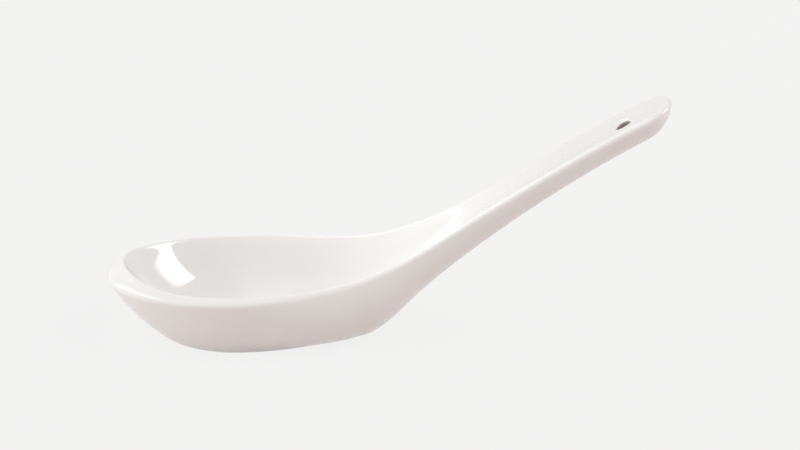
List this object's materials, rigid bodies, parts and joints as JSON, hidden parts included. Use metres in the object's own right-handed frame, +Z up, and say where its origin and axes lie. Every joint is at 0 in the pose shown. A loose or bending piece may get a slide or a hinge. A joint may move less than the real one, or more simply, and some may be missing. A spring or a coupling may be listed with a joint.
{
  "type": "rice spoon",
  "caption": "Porcelain rice spoon with a deep flat-footed bowl, a thick lip and a rising channelled handle with a hanging hole.",
  "frame": {"origin": "middle of the flat foot, on the table", "axes": "+X along the spoon from the bowl to the handle, +Z up out of the bowl, with the spoon the same on both sides of the XZ plane"},
  "size_m": [0.133, 0.0442, 0.0587],
  "materials": {
    "porcelain": "glossy clear glaze over warm white porcelain"
  },
  "bodies": {
    "root": {"spoon": "porcelain"}
  },
  "joints": []
}
